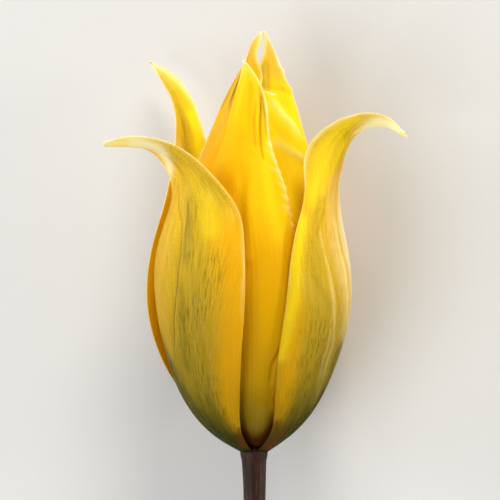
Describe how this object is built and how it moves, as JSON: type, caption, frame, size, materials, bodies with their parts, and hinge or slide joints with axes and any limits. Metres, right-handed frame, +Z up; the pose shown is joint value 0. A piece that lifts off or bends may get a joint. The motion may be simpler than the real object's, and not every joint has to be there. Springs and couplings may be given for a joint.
{
  "type": "wild tulip flower",
  "caption": "Cut wild tulip lying on its back: a yellow goblet flower of pointed petals, the outer ones curling outwards, with stamens, a pistil and a bare brown stem.",
  "frame": {"origin": "middle of the bounding box on the surface that the flower lies on", "axes": "+Y from the stem's cut end to the petal tips, +Z up from the surface, towards the side that the picture shows (that side leans 15 degrees to +X)"},
  "size_m": [0.0423, 0.172, 0.0312],
  "materials": {
    "outer_tepal": "satin petal skin, khaki-veined yellow",
    "inner_tepal": "satin petal skin, clear golden yellow",
    "filament": "smooth, hairy at the foot",
    "anther": "powdery pollen",
    "pistil": "waxy green-yellow",
    "stem": "waxy brown-maroon skin"
  },
  "bodies": {
    "root": {"outer_tepal_front_left": "outer_tepal", "outer_tepal_front_right": "outer_tepal", "outer_tepal_back": "outer_tepal", "inner_tepal_front": "inner_tepal", "inner_tepal_left": "inner_tepal", "inner_tepal_right": "inner_tepal", "filament_front_left": "filament", "filament_front_right": "filament", "filament_back": "filament", "filament_front": "filament", "filament_left": "filament", "filament_right": "filament", "anther_front_left": "anther", "anther_front_right": "anther", "anther_back": "anther", "anther_front": "anther", "anther_left": "anther", "anther_right": "anther", "pistil": "pistil", "stem": "stem"}
  },
  "joints": []
}
